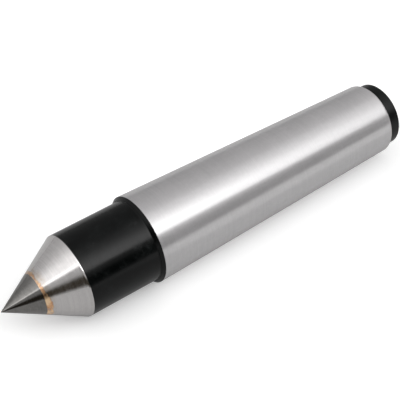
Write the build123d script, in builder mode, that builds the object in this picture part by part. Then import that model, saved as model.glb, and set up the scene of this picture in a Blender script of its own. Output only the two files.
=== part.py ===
from build123d import *
import os
from math import hypot, radians, tan

# Carbide-tipped dead centre for a lathe, with a Morse taper 4 shank. It has no moving parts.
#
# Three separate pieces make it:
#   center_body     one hardened steel turning: 60 degree point cone, plain neck, shoulder, ground
#                   Morse taper, and a short tail with a centre hole in its end
#   carbide_insert  a round cemented carbide rod with the working point ground on its front
#   braze_layer     the copper filler that holds the insert in the body's blind pocket
#
# Frame: X is the axis of revolution, with the working point towards -X and the tail towards +X.
# The origin is the centre of the gauge plane, where a Morse taper 4 has its nominal diameter.
# All sizes are in millimetres.

# Morse taper 4 shank
GAUGE_DIAMETER = 31.267
TAPER_ON_DIAMETER = 1 / 19.254  # change of diameter for each millimetre of length
GAUGE_TO_SHOULDER = 6.5
GAUGE_TO_TAIL = 102.5
SHOULDER_CHAMFER = 0.9
TAPER_END_ROUNDING = 1.0

# Point and neck
OVERALL_LENGTH = 160.0
POINT_ANGLE = 60.0
NOSE_RADIUS = 0.12
NECK_DIAMETER = 29.0
NECK_EDGE_BREAK = 0.15
NECK_ROOT_FILLET = 0.35

# Tail, the short plain end behind the taper
TAIL_DIAMETER = 23.4
TAIL_LENGTH = 4.8
TAIL_EDGE_CHAMFER = 0.4
TAIL_ROOT_FILLET = 0.4

# Centre hole in the tail: drilled pilot, 60 degree seat, and a countersink that guards the seat
PILOT_DIAMETER = 4.0
PILOT_LENGTH = 3.0
DRILL_POINT_ANGLE = 118.0
SEAT_ANGLE = 60.0
SEAT_DIAMETER = 8.5
GUARD_ANGLE = 120.0
GUARD_DIAMETER = 12.5

# Carbide insert
INSERT_DIAMETER = 14.5
INSERT_LENGTH = 30.0
INSERT_BACK_CHAMFER = 0.6

# Brazed pocket: a thin film round the insert, and a countersunk mouth where the filler is thickest
BRAZE_FILM = 0.15
MOUTH_DIAMETER = 15.9
MOUTH_ANGLE = 90.0

neck_radius = NECK_DIAMETER / 2
tail_radius = TAIL_DIAMETER / 2
insert_radius = INSERT_DIAMETER / 2
pocket_radius = insert_radius + BRAZE_FILM
mouth_radius = MOUTH_DIAMETER / 2

# Places along the axis. The apex is where the cone would end if its nose weren't rounded.
nose_x = GAUGE_TO_TAIL - OVERALL_LENGTH
apex_x = nose_x - NOSE_RADIUS
shoulder_x = -GAUGE_TO_SHOULDER
taper_end_x = GAUGE_TO_TAIL - TAIL_LENGTH
tail_x = GAUGE_TO_TAIL
insert_back_x = nose_x + INSERT_LENGTH
pocket_floor_x = insert_back_x + BRAZE_FILM


def cone_length(radius, full_angle):
    """Axial length over which a cone of the given full angle grows by the given radius."""
    return radius / tan(radians(full_angle / 2))


def point_x(radius):
    """Where the 60 degree point has the given radius."""
    return apex_x + cone_length(radius, POINT_ANGLE)


def taper_radius(x):
    """Radius of the Morse taper at x."""
    return (GAUGE_DIAMETER - x * TAPER_ON_DIAMETER) / 2


def rim(part, x, radius):
    """The circular edge of a turned part nearest to the given place along the axis and radius."""
    circles = part.edges().filter_by(GeomType.CIRCLE)
    return circles.sort_by(lambda edge: hypot(edge.arc_center.X - x, edge.radius - radius))[0]


# Carbide insert: the working point, a plain rod, and a chamfered back. A 60 degree cone meets a nose
# ball whose centre is one radius behind the nose and two behind the apex.
with BuildPart() as carbide_insert:
    with BuildSketch(Plane.XZ):
        with BuildLine():
            nose = JernArc((nose_x, 0), (0, 1), NOSE_RADIUS, POINT_ANGLE / 2 - 90)
            Polyline(
                nose @ 1,
                (point_x(insert_radius), insert_radius),
                (insert_back_x, insert_radius),
                (insert_back_x, 0),
                nose @ 0,
            )
        make_face()
    revolve(axis=Axis.X)
    chamfer(rim(carbide_insert, insert_back_x, insert_radius), INSERT_BACK_CHAMFER)

# Brazed pocket: the room for the insert and its filler, open at the cone and closed at the back
mouth_bottom_x = point_x(mouth_radius) + cone_length(mouth_radius - pocket_radius, MOUTH_ANGLE)
with BuildPart() as pocket:
    with BuildSketch(Plane.XZ):
        with BuildLine():
            Polyline(
                (apex_x, 0),
                (point_x(mouth_radius), mouth_radius),
                (mouth_bottom_x, pocket_radius),
                (pocket_floor_x, pocket_radius),
                (pocket_floor_x, 0),
                close=True,
            )
        make_face()
    revolve(axis=Axis.X)
    chamfer(rim(pocket, pocket_floor_x, pocket_radius), INSERT_BACK_CHAMFER)

# Braze layer: all of the pocket that the insert leaves free, up to the ground surface of the point
with BuildPart() as braze_layer:
    with BuildSketch(Plane.XZ):
        with BuildLine():
            Polyline(
                (point_x(insert_radius), insert_radius),
                (point_x(mouth_radius), mouth_radius),
                (mouth_bottom_x, pocket_radius),
                (pocket_floor_x, pocket_radius),
                (pocket_floor_x, 0),
                (point_x(insert_radius), 0),
                close=True,
            )
        make_face()
    revolve(axis=Axis.X)
    chamfer(rim(braze_layer, pocket_floor_x, pocket_radius), INSERT_BACK_CHAMFER)
    add(carbide_insert.part, mode=Mode.SUBTRACT)

# Centre body: cone, neck, shoulder, Morse taper and tail in one turned outline
with BuildPart() as center_body:
    with BuildSketch(Plane.XZ):
        with BuildLine():
            Polyline(
                (apex_x, 0),
                (point_x(neck_radius), neck_radius),
                (shoulder_x, neck_radius),
                (shoulder_x, taper_radius(shoulder_x)),
                (taper_end_x, taper_radius(taper_end_x)),
                (taper_end_x, tail_radius),
                (tail_x, tail_radius),
                (tail_x, 0),
                close=True,
            )
        make_face()
    revolve(axis=Axis.X)

    chamfer(rim(center_body, point_x(neck_radius), neck_radius), NECK_EDGE_BREAK)
    fillet(rim(center_body, shoulder_x, neck_radius), NECK_ROOT_FILLET)
    chamfer(rim(center_body, shoulder_x, taper_radius(shoulder_x)), SHOULDER_CHAMFER)
    fillet(rim(center_body, taper_end_x, taper_radius(taper_end_x)), TAPER_END_ROUNDING)
    fillet(rim(center_body, taper_end_x, tail_radius), TAIL_ROOT_FILLET)
    chamfer(rim(center_body, tail_x, tail_radius), TAIL_EDGE_CHAMFER)

    add(pocket.part, mode=Mode.SUBTRACT)

    # The centre hole is drawn from the tail's face inwards.
    guard_x = tail_x - cone_length((GUARD_DIAMETER - SEAT_DIAMETER) / 2, GUARD_ANGLE)
    seat_x = guard_x - cone_length((SEAT_DIAMETER - PILOT_DIAMETER) / 2, SEAT_ANGLE)
    pilot_x = seat_x - PILOT_LENGTH
    drill_tip_x = pilot_x - cone_length(PILOT_DIAMETER / 2, DRILL_POINT_ANGLE)
    with BuildSketch(Plane.XZ):
        with BuildLine():
            Polyline(
                (tail_x, 0),
                (tail_x, GUARD_DIAMETER / 2),
                (guard_x, SEAT_DIAMETER / 2),
                (seat_x, PILOT_DIAMETER / 2),
                (pilot_x, PILOT_DIAMETER / 2),
                (drill_tip_x, 0),
                close=True,
            )
        make_face()
    revolve(axis=Axis.X, mode=Mode.SUBTRACT)

center_body.part.label = "center_body"
braze_layer.part.label = "braze_layer"
carbide_insert.part.label = "carbide_insert"

os.makedirs("parts", exist_ok=True)
export_step(center_body.part, "parts/center_body.step")
export_step(braze_layer.part, "parts/braze_layer.step")
export_step(carbide_insert.part, "parts/carbide_insert.step")
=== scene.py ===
from collections import namedtuple
from math import ceil, cos, pi, radians, sin

import bmesh
import bpy
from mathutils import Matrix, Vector


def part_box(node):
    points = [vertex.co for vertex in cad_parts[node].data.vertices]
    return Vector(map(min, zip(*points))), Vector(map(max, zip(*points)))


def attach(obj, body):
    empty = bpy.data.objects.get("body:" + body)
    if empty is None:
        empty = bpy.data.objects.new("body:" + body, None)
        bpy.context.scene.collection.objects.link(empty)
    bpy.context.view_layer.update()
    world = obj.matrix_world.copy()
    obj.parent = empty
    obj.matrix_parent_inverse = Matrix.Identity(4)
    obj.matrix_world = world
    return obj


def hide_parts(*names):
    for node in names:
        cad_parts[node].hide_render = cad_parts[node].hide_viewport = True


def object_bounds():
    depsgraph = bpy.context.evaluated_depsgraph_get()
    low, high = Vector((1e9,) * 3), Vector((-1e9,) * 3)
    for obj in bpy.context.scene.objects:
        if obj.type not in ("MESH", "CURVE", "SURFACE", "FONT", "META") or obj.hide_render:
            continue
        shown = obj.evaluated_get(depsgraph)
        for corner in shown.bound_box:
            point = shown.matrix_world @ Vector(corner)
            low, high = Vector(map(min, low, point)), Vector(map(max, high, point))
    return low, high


# Carbide-tipped dead centre with a Morse taper 4 shank, lying on a pale table.
# Metres. X is the axis of revolution: the point faces -X and the tail +X. Z is up.

MM = 0.001

# Camera
CAMERA_AZIMUTH = -36.88
CAMERA_ELEVATION = 44.41
CAMERA_DISTANCE = 386.46 * MM
CAMERA_LENS = 101.42
CAMERA_CLIP = 10 * MM
AIM_FROM_MIDDLE = Vector((-0.43, 2.79, 0)) * MM

# Places along the axis, and radii of the centre hole, where the finish of the body changes
GROUND_POINT_END = -32.2 * MM
TAPER_START = -5.5 * MM
TAPER_END = 97.70 * MM
PILOT_RADIUS = 2.05 * MM
SEAT_RADIUS = 4.3 * MM

# Fine meshes. Close to each edge, at HOLDING, lies an extra ring that keeps the shading true.
SAME_POINT = 0.002 * MM
FACETS = 240
HOLDING = 0.12 * MM
LONGEST_STEP = 4 * MM
SHARP_ANGLE = 22

# Ground metal: the pitches of its lines, and the scales of its patterns, in cells per length, and depths
LINE_PITCH = 0.25 * MM
BAND_PITCH = 2.2 * MM
PATCHES = 0.09 / MM
MOTTLE = 0.7 / MM
GRAIN = 6 / MM
PATCH_DEPTH = 0.10
GRAIN_DEPTH = 0.15
GRAIN_IN_BUMP = 0.9
GROUND_BUMP = 0.004 * MM
LOBE_STRETCH = 0.5
QUARTER_TURN = 0.25

# Braze ring: the shares of the exposed band that it fills on its narrow and its wide side, where it is
# widest, the scales of its patterns, and how far its two edges wander and fade
BRAZE_NARROW = 0.7
BRAZE_WIDE = 1.35
BRAZE_WIDEST = Vector((0, -0.94, -0.34))
BRAZE_THIN_SIDE = 0.75
BRAZE_WAVES = 0.3 / MM
BRAZE_RAGGED = 1.5 / MM
BRAZE_PITS = 1.1 / MM
START_WAVES = 0.2 * MM
START_RAGS = 0.5 * MM
START_FADE = 0.10 * MM
END_WAVES = 1.3 * MM
END_RAGS = 1.1 * MM
END_FADE = 0.20 * MM
COPPER_PATCHES = 0.55 / MM
COPPER_DEEP = (0.66, 0.34, 0.17, 1)
COPPER_PALE = (0.98, 0.70, 0.44, 1)
COPPER_HAZE = 0.27

# Heat tint on the steel beside the braze
HEATED = (0.42, 0.31, 0.19, 1)
HEAT_STRENGTH = 0.4
HEAT_START = 0.3 * MM
HEAT_REACH = 2.0 * MM
HEAT_PATCHES = 0.4 / MM

# Black oxide
OXIDE_THICK = (0.0008, 0.0012, 0.0012, 1)
OXIDE_THIN = (0.011, 0.0125, 0.0125, 1)
OXIDE_CLOUDS = 0.16 / MM
OXIDE_SPOTS = 0.8 / MM
OXIDE_GRAIN = 2.5 / MM
OXIDE_LINE_PITCH = 0.3 * MM
OXIDE_LINES_IN_BUMP = 0.7
OXIDE_BUMP = 0.006 * MM

# Table. The camera sees a quiet white. The metal sees it darker, except in a painted pool of light in front
# of the shank, which comes up from the first to the second of each pair of places.
TABLE_HALF = 3.0
TABLE_SEEN = (0.9, 0.9, 0.9, 1)
TABLE_GLOW = 0.3
TABLE_REFLECTED = 0.59
PAINTED_POOL_REFLECTED = 0.86
PAINTED_POOL_X = (10 * MM, 45 * MM)
PAINTED_POOL_Y = (-35 * MM, -80 * MM)

# Room. The camera sees the backdrop, and the metal sees the rest.
BACKDROP = (1, 1, 1, 1)
ROOM_LOW = 0.48
ROOM_HIGH = 0.53
DIMMING_BEHIND_TAIL = 0.42
UNLIT_BY_POINT = (0.048, 0.041, 0.032, 1)
UNLIT_BY_TAIL = (0.037, 0.043, 0.041, 1)

# Lamps. toward is a direction from the object, and spread is in degrees. A plane with this normal cuts
# them off towards the camera, softly.
Lamp = namedtuple("Lamp", "toward strength spread")
LAMPS = (
    Lamp(toward=(0.2, -0.64, 0.74), strength=3.5, spread=16.5),
    Lamp(toward=(-0.47, -0.15, 0.87), strength=1.02, spread=24.5),
    Lamp(toward=(-0.72, -0.24, 0.65), strength=1.5, spread=3.5),
)
EDGE_NORMAL = Vector((0.291, 0.705, 0.646))
EDGE_SOFTNESS = 0.03


class Graph:
    """Short ways to add and join nodes in one node tree."""

    def __init__(self, tree):
        self.tree = tree
        tree.nodes.clear()

    def feed(self, socket, value):
        """Joins another node's output to the socket, or sets the socket's own value."""
        if isinstance(value, bpy.types.NodeSocket):
            self.tree.links.new(value, socket)
        else:
            socket.default_value = value

    def node(self, kind, inputs=None, **settings):
        node = self.tree.nodes.new("ShaderNode" + kind)
        for name, value in settings.items():
            setattr(node, name, value)
        for name, value in (inputs or {}).items():
            self.feed(node.inputs[name], value)
        return node

    def math(self, operation, *values):
        node = self.node("Math", operation=operation)
        for socket, value in zip(node.inputs, values):
            self.feed(socket, value)
        return node.outputs["Value"]

    def vector(self, operation, *values):
        node = self.node("VectorMath", operation=operation)
        for socket, value in zip(node.inputs, values):
            self.feed(socket, value)
        return node.outputs["Value" if operation == "DOT_PRODUCT" else "Vector"]

    def scale(self, color, factor):
        """The colour made brighter or darker by a factor."""
        node = self.node("VectorMath", {"Vector": color, "Scale": factor}, operation="SCALE")
        return node.outputs["Vector"]

    def ramp(self, value, low, high, to_low=0.0, to_high=1.0, smooth=True):
        """The value mapped from low..high to to_low..to_high, held at both ends."""
        inputs = {"Value": value, "From Min": low, "From Max": high, "To Min": to_low, "To Max": to_high}
        kind = "SMOOTHSTEP" if smooth else "LINEAR"
        return self.node("MapRange", inputs, interpolation_type=kind).outputs["Result"]

    def mix(self, share, first, second):
        """A blend of two colours."""
        node = self.node("Mix", data_type="RGBA")
        self.feed(node.inputs["Factor"], share)
        self.feed(node.inputs["A"], first)
        self.feed(node.inputs["B"], second)
        return node.outputs["Result"]

    def noise(self, vector, scale, detail=3.0, roughness=0.5):
        inputs = {"Vector": vector, "Scale": scale, "Detail": detail, "Roughness": roughness}
        return self.node("TexNoise", inputs, noise_dimensions="3D").outputs["Fac"]

    def place(self):
        """Where a point lies on the object, in the object's own frame."""
        return self.node("TexCoord").outputs["Object"]

    def parts(self, vector):
        """The x, y and z of a vector."""
        return self.node("SeparateXYZ", {"Vector": vector}).outputs


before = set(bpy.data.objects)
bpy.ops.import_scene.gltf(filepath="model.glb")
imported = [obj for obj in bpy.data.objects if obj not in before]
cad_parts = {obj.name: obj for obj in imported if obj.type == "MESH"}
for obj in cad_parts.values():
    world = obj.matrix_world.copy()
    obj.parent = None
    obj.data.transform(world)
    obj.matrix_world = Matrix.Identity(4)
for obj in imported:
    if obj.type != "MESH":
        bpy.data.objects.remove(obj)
cad_low, cad_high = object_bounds()
middle = (cad_low + cad_high) / 2
braze_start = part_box("braze_layer")[0].x
steel_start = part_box("center_body")[0].x


def material(name):
    made = bpy.data.materials.new(name)
    made.use_nodes = True
    graph = Graph(made.node_tree)
    output = graph.node("OutputMaterial")
    surface = graph.node("BsdfPrincipled")
    graph.feed(output.inputs["Surface"], surface.outputs[0])
    return made, graph, surface.inputs


def rings(graph, position, pitch, drift):
    """Lines round the X axis, about a pitch apart. drift is how fast they change on their way round."""
    stretched = graph.vector("MULTIPLY", position, (1 / pitch, drift, drift))
    return graph.ramp(graph.noise(stretched, 1.0, detail=2.0), 0.3, 0.7, smooth=False)


def vary(graph, value, noise, amount):
    """The value raised and lowered by up to about half the amount, following the noise."""
    return graph.math("MULTIPLY_ADD", graph.math("SUBTRACT", noise, 0.5), amount, value)


def braze_share(graph, position):
    """1 where braze metal shows on a ground surface and 0 on clean metal.

    The braze is a ragged ring from the insert's edge backwards, pitted, and widest low down in front.
    """
    x = graph.parts(position)["X"]
    outward = graph.vector("NORMALIZE", graph.vector("MULTIPLY", position, (0, 1, 1)))
    toward_widest = graph.vector("DOT_PRODUCT", outward, BRAZE_WIDEST)
    waves = graph.noise(position, BRAZE_WAVES, detail=1.0)
    ragged = graph.noise(position, BRAZE_RAGGED, detail=5.0, roughness=0.6)
    band = steel_start - braze_start
    width = graph.ramp(toward_widest, 0.1, 1.0, BRAZE_NARROW * band, BRAZE_WIDE * band)
    end = vary(graph, graph.math("ADD", width, braze_start), waves, END_WAVES)
    end = vary(graph, end, ragged, END_RAGS)
    start = vary(graph, braze_start, waves, -START_WAVES)
    start = vary(graph, start, ragged, -START_RAGS)
    begun = graph.ramp(graph.math("SUBTRACT", x, start), -START_FADE, START_FADE)
    over = graph.ramp(graph.math("SUBTRACT", x, end), -END_FADE, END_FADE)
    pits = graph.ramp(graph.noise(position, BRAZE_PITS, detail=3.0), 0.34, 0.42)
    thick = graph.math("MULTIPLY", pits, graph.ramp(toward_widest, -0.2, 0.6, BRAZE_THIN_SIDE, 1.0))
    return graph.math("MULTIPLY", thick, graph.math("MULTIPLY", begun, graph.math("SUBTRACT", 1.0, over)))


def heat_tint(graph, position):
    """How far the metal next to the braze has gone straw brown from the heat of brazing."""
    x = graph.parts(position)["X"]
    patches = graph.noise(position, HEAT_PATCHES, detail=4.0)
    begun = graph.ramp(x, braze_start - HEAT_START, braze_start)
    reach = graph.math("MULTIPLY", begun, graph.ramp(x, steel_start, steel_start + HEAT_REACH, 1.0, 0.0))
    return graph.math("MULTIPLY", reach, graph.ramp(patches, 0.35, 0.7))


def brazed(graph, position, clean, haze, coat):
    """The clean metal's colour, wide lobe and coat, changed where braze metal and heat tint lie on it."""
    share = braze_share(graph, position)
    heat = graph.math("MULTIPLY", heat_tint(graph, position), HEAT_STRENGTH)
    heated = graph.mix(heat, clean, HEATED)
    patches = graph.ramp(graph.noise(position, COPPER_PATCHES, detail=4.0), 0.35, 0.65)
    copper = graph.mix(patches, COPPER_DEEP, COPPER_PALE)
    rim = graph.math("MULTIPLY", share, graph.math("SUBTRACT", 1.0, share))
    color = graph.scale(graph.mix(share, heated, copper), graph.math("SUBTRACT", 1.0, rim))
    haze = graph.ramp(share, 0.0, 1.0, haze, COPPER_HAZE, smooth=False)
    return color, haze, graph.ramp(share, 0.0, 1.0, coat, coat / 2)


def ground_metal(name, color, haze, lines, mottling, coat, gloss, coat_index, finish=None):
    """Ground metal, with a wide lobe from the grinding lines and a sharp one from the lands between them.

    haze and gloss are the roughness of the two lobes. The wide one is stretched along the axis. lines and
    mottling are the depths of those patterns. finish may change the colour, the haze and the coat's weight.
    """
    made, graph, surface = material(name)
    position = graph.place()
    fine = rings(graph, position, LINE_PITCH, drift=25)
    bands = rings(graph, position, BAND_PITCH, drift=9)
    patches = graph.noise(position, PATCHES, detail=3.0)
    mottle = graph.noise(position, MOTTLE, detail=4.0, roughness=0.6)
    grain = graph.noise(position, GRAIN, detail=2.0)
    tone = 1.0
    for noise, depth in ((fine, lines), (bands, lines / 3), (patches, PATCH_DEPTH)):
        tone = vary(graph, tone, noise, depth)
    for noise, depth in ((mottle, mottling), (grain, GRAIN_DEPTH)):
        tone = vary(graph, tone, noise, depth)
    shade = graph.scale(color, tone)
    for noise, depth in ((fine, lines), (bands, lines / 2), (patches, PATCH_DEPTH)):
        haze = vary(graph, haze, noise, depth)
    if finish:
        shade, haze, coat = finish(graph, position, shade, haze, coat)
    graph.feed(surface["Base Color"], shade)
    graph.feed(surface["Metallic"], 1.0)
    graph.feed(surface["Roughness"], haze)
    graph.feed(surface["Tangent"], graph.node("Tangent", direction_type="RADIAL", axis="X").outputs[0])
    graph.feed(surface["Anisotropic"], LOBE_STRETCH)
    graph.feed(surface["Anisotropic Rotation"], QUARTER_TURN)
    graph.feed(surface["Coat Weight"], coat)
    graph.feed(surface["Coat Roughness"], gloss)
    graph.feed(surface["Coat IOR"], coat_index)
    bump = graph.node("Bump", {"Height": vary(graph, fine, grain, GRAIN_IN_BUMP), "Distance": GROUND_BUMP})
    graph.feed(surface["Normal"], bump.outputs[0])
    return made


def black_oxide(name, roughness, gloss):
    """Blackened steel, cloudy where the oxide is thinner, over turning marks."""
    made, graph, surface = material(name)
    position = graph.place()
    cloud = graph.noise(position, OXIDE_CLOUDS, detail=6.0, roughness=0.65)
    grain = graph.noise(position, OXIDE_GRAIN, detail=3.0)
    turned_lines = rings(graph, position, OXIDE_LINE_PITCH, drift=30)
    spots = graph.noise(position, OXIDE_SPOTS, detail=3.0)
    thin = graph.math("MULTIPLY", graph.ramp(cloud, 0.45, 0.75), graph.ramp(spots, 0.4, 0.75, 0.3, 1.0))
    graph.feed(surface["Base Color"], graph.mix(thin, OXIDE_THICK, OXIDE_THIN))
    for noise, depth in ((cloud, 0.22), (grain, 0.16), (turned_lines, 0.08)):
        roughness = vary(graph, roughness, noise, depth)
    graph.feed(surface["Roughness"], roughness)
    graph.feed(surface["Specular IOR Level"], gloss)
    height = vary(graph, grain, turned_lines, OXIDE_LINES_IN_BUMP)
    bump = graph.node("Bump", {"Height": height, "Distance": OXIDE_BUMP})
    graph.feed(surface["Normal"], bump.outputs[0])
    return made


ground_steel = ground_metal(
    "ground_steel",
    color=(0.64, 0.623, 0.632),
    haze=0.72,
    lines=0.12,
    mottling=0.12,
    coat=0.9,
    gloss=0.17,
    coat_index=3.4,
)
point_steel = ground_metal(
    "point_steel",
    color=(0.62, 0.60, 0.595),
    haze=0.16,
    lines=0.14,
    mottling=0.15,
    coat=0.2,
    gloss=0.10,
    coat_index=1.5,
    finish=brazed,
)
carbide = ground_metal(
    "carbide",
    color=(0.207, 0.2, 0.192),
    haze=0.1,
    lines=0.16,
    mottling=0.7,
    coat=0.2,
    gloss=0.10,
    coat_index=1.5,
    finish=brazed,
)
neck_oxide = black_oxide("black_oxide", roughness=0.18, gloss=0.225)
tail_oxide = black_oxide("tail_oxide", roughness=0.34, gloss=0.26)


def outline(node):
    """The (x, radius) points of a turned node's section, in order, from axis to axis."""
    points = []
    links = []

    def number_of(vertex):
        """The number of the section point that a vertex of the mesh lies on."""
        point = Vector((vertex.co.x, vertex.co.yz.length))
        for number, known in enumerate(points):
            if (known - point).length < SAME_POINT:
                return number
        points.append(point)
        links.append(set())
        return len(points) - 1

    numbers = [number_of(vertex) for vertex in node.data.vertices]
    for edge in node.data.edges:
        first, second = (numbers[vertex] for vertex in edge.vertices)
        if first != second:
            links[first].add(second)
            links[second].add(first)
    step = next(number for number, joined in enumerate(links) if len(joined) == 1)
    path = [step]
    while ahead := links[step] - set(path):
        step = min(ahead, key=lambda number: (points[number] - points[step]).length)
        path.append(step)
    section = [points[number] for number in path]
    if section[0].y > SAME_POINT:
        section.insert(0, Vector((section[0].x, 0.0)))
    if section[-1].y > SAME_POINT:
        section.append(Vector((section[-1].x, 0.0)))
    return section


def with_loops(section):
    """The section with extra points on its longer straight runs, the first and last close to the ends."""
    full = []
    for start, end in zip(section, section[1:]):
        full.append(start)
        length = (end - start).length
        if length < 3 * HOLDING:
            continue
        steps = ceil((length - 2 * HOLDING) / LONGEST_STEP)
        for number in range(steps + 1):
            along = HOLDING + (length - 2 * HOLDING) * number / steps
            full.append(start.lerp(end, along / length))
    return full + [section[-1]]


def turned(name, node_name, finish_at, materials):
    """A finely faceted copy of a turned CAD node, which it replaces.

    finish_at gives the number of the material at an x and a radius. The mesh is split where that changes.
    """
    shape = bmesh.new()
    turns = [2 * pi * number / FACETS for number in range(FACETS)]
    circles = []
    for x, radius in with_loops(outline(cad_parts[node_name])):
        if radius < SAME_POINT:
            circles.append([shape.verts.new((x, 0, 0))])
        else:
            circles.append([shape.verts.new((x, radius * sin(turn), radius * cos(turn))) for turn in turns])
    for one, other in zip(circles, circles[1:]):
        for number in range(FACETS):
            after = (number + 1) % FACETS
            corners = ((one, number), (one, after), (other, after), (other, number))
            shape.faces.new(dict.fromkeys(circle[at % len(circle)] for circle, at in corners))
    bmesh.ops.recalc_face_normals(shape, faces=shape.faces)
    for face in shape.faces:
        face.smooth = True
        center = face.calc_center_median()
        face.material_index = finish_at(center.x, center.yz.length)
    borders = [edge for edge in shape.edges if len({face.material_index for face in edge.link_faces}) > 1]
    bmesh.ops.split_edges(shape, edges=borders)
    mesh = bpy.data.meshes.new(name)
    shape.to_mesh(mesh)
    shape.free()
    mesh.set_sharp_from_angle(angle=radians(SHARP_ANGLE))
    for made in materials:
        mesh.materials.append(made)
    piece = bpy.data.objects.new(name, mesh)
    bpy.context.scene.collection.objects.link(piece)
    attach(piece, "root")
    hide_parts(node_name)


body_finishes = (ground_steel, neck_oxide, point_steel, tail_oxide)


def body_finish_at(x, radius):
    """Ground steel on the point, the taper and the centre hole's seat, black oxide on the rest."""
    if x > TAPER_END:
        made = point_steel if PILOT_RADIUS < radius < SEAT_RADIUS else tail_oxide
    elif x > TAPER_START:
        made = ground_steel
    else:
        made = point_steel if x < GROUND_POINT_END else neck_oxide
    return body_finishes.index(made)


def one_finish(x, radius):
    return 0


turned("turned_body", "center_body", body_finish_at, body_finishes)
turned("turned_braze", "braze_layer", one_finish, (point_steel,))
turned("turned_insert", "carbide_insert", one_finish, (carbide,))


def table():
    """A pale table under the object. TABLE_GLOW keeps its shadows soft for the camera."""
    corners = ((-1, -1), (1, -1), (1, 1), (-1, 1))
    mesh = bpy.data.meshes.new("table")
    mesh.from_pydata([(x * TABLE_HALF, y * TABLE_HALF, cad_low.z) for x, y in corners], [], [(0, 1, 2, 3)])
    made = bpy.data.objects.new("table", mesh)
    bpy.context.scene.collection.objects.link(made)
    shade = bpy.data.materials.new("table")
    shade.use_nodes = True
    graph = Graph(shade.node_tree)
    seen = graph.node("LightPath").outputs["Is Camera Ray"]
    x, y, _ = graph.parts(graph.place())
    # painted pool of light: a brighter patch of the table that only the metal sees in its reflections
    painted_pool = graph.math("MULTIPLY", graph.ramp(x, *PAINTED_POOL_X), graph.ramp(y, *PAINTED_POOL_Y))
    reflected = graph.ramp(painted_pool, 0.0, 1.0, TABLE_REFLECTED, PAINTED_POOL_REFLECTED)
    surface = graph.node("BsdfPrincipled")
    graph.feed(surface.inputs["Base Color"], graph.mix(seen, reflected, TABLE_SEEN))
    graph.feed(surface.inputs["Roughness"], 0.9)
    graph.feed(surface.inputs["Specular IOR Level"], 0.0)
    graph.feed(surface.inputs["Emission Color"], (1, 1, 1, 1))
    graph.feed(surface.inputs["Emission Strength"], graph.math("MULTIPLY", seen, TABLE_GLOW))
    graph.feed(graph.node("OutputMaterial").inputs["Surface"], surface.outputs[0])
    mesh.materials.append(shade)


def room(graph, direction):
    """Soft light from all round, dimmer behind the tail, and unlit low down on the camera's side.

    x, y and z are the parts of a direction of length 1, so z is the sine of its height above the table.
    """
    x, y, z = graph.parts(direction)
    camera_side = graph.ramp(y, -0.3, 0.0, 1.0, 0.0)
    below_lamps = graph.ramp(z, 0.35, 0.54, 1.0, 0.0)
    above_table = graph.ramp(z, 0.0, 0.12, 0.3, 1.0)
    unlit = graph.math("MULTIPLY", camera_side, graph.math("MULTIPLY", below_lamps, above_table))
    unlit_color = graph.mix(graph.ramp(x, 0.05, 0.35), UNLIT_BY_POINT, UNLIT_BY_TAIL)
    tail_side = graph.ramp(x, 0.0, 0.4)
    dimming = graph.math("MULTIPLY", tail_side, graph.ramp(y, 0.0, 0.3, 0.0, DIMMING_BEHIND_TAIL))
    level = graph.ramp(z, 0.0, 0.7, ROOM_LOW, ROOM_HIGH)
    lit = graph.math("MULTIPLY", level, graph.math("SUBTRACT", 1.0, dimming))
    return graph.mix(unlit, lit, unlit_color)


def studio():
    """The room with its diffused lamps. Each is bright in the middle and fades out round it."""
    world = bpy.data.worlds.new("studio")
    bpy.context.scene.world = world
    world.use_nodes = True
    graph = Graph(world.node_tree)
    direction = graph.node("TexCoord").outputs["Generated"]
    light = room(graph, direction)
    past_edge = graph.vector("DOT_PRODUCT", direction, EDGE_NORMAL)
    inside = graph.ramp(past_edge, -EDGE_SOFTNESS, EDGE_SOFTNESS)
    for lamp in LAMPS:
        cosine = graph.vector("DOT_PRODUCT", direction, Vector(lamp.toward).normalized())
        off_center = graph.math("SUBTRACT", cosine, 1.0)
        glow = graph.math("EXPONENT", graph.math("DIVIDE", off_center, radians(lamp.spread) ** 2))
        glow = graph.math("MULTIPLY", graph.math("MULTIPLY", glow, inside), lamp.strength)
        light = graph.vector("ADD", light, glow)
    seen = graph.node("LightPath").outputs["Is Camera Ray"]
    background = graph.node("Background", {"Color": graph.mix(seen, light, BACKDROP)})
    graph.feed(graph.node("OutputWorld").inputs["Surface"], background.outputs[0])


def camera():
    data = bpy.data.cameras.new("camera")
    data.lens = CAMERA_LENS
    data.clip_start = CAMERA_CLIP
    made = bpy.data.objects.new("camera", data)
    bpy.context.scene.collection.objects.link(made)
    azimuth, elevation = radians(CAMERA_AZIMUTH), radians(CAMERA_ELEVATION)
    back = Vector((sin(azimuth) * cos(elevation), -cos(azimuth) * cos(elevation), sin(elevation)))
    made.location = middle + AIM_FROM_MIDDLE + back * CAMERA_DISTANCE
    made.rotation_euler = (-back).to_track_quat("-Z", "Y").to_euler()
    bpy.context.scene.camera = made


table()
studio()
camera()
bpy.context.scene.view_settings.view_transform = "Standard"
